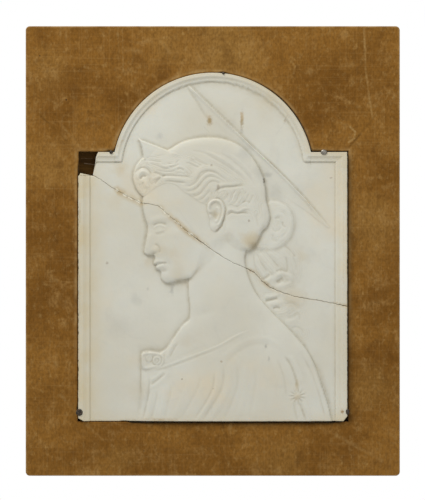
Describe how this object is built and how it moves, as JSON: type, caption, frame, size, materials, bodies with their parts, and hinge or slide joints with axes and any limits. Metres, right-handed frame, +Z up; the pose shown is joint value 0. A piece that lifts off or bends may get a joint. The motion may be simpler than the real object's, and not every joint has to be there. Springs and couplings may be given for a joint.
{
  "type": "marble relief plaque",
  "caption": "Arched marble relief of a haloed bust in profile, broken and rejoined, held in a velvet-covered board.",
  "frame": {"origin": "middle of the board's back, in the plane of the hanging face", "axes": "+Z up along the board's height, +X to the viewer's right, the relief faces -Y and the wall is on the +Y side"},
  "size_m": [0.468, 0.0371, 0.5624],
  "materials": {
    "marble": "polished cream marble, worn, with stains and a glued crack",
    "frame_wood": "raw softwood",
    "panel_wood": "dark stained wood, satin",
    "velvet": "golden brown velvet with worn, brushed pile",
    "dark_iron": "blackened, lightly rusted",
    "bright_steel": "dull bright metal"
  },
  "bodies": {
    "root": {"marble_upper_fragment": "marble", "marble_lower_fragment": "marble", "frame_board": "frame_wood", "back_panel": "panel_wood", "velvet_cover": "velvet", "pin_lower_left": "dark_iron", "pin_lower_right": "dark_iron", "pin_shoulder_left": "dark_iron", "pin_shoulder_right": "bright_steel", "pin_crown": "dark_iron"}
  },
  "joints": []
}
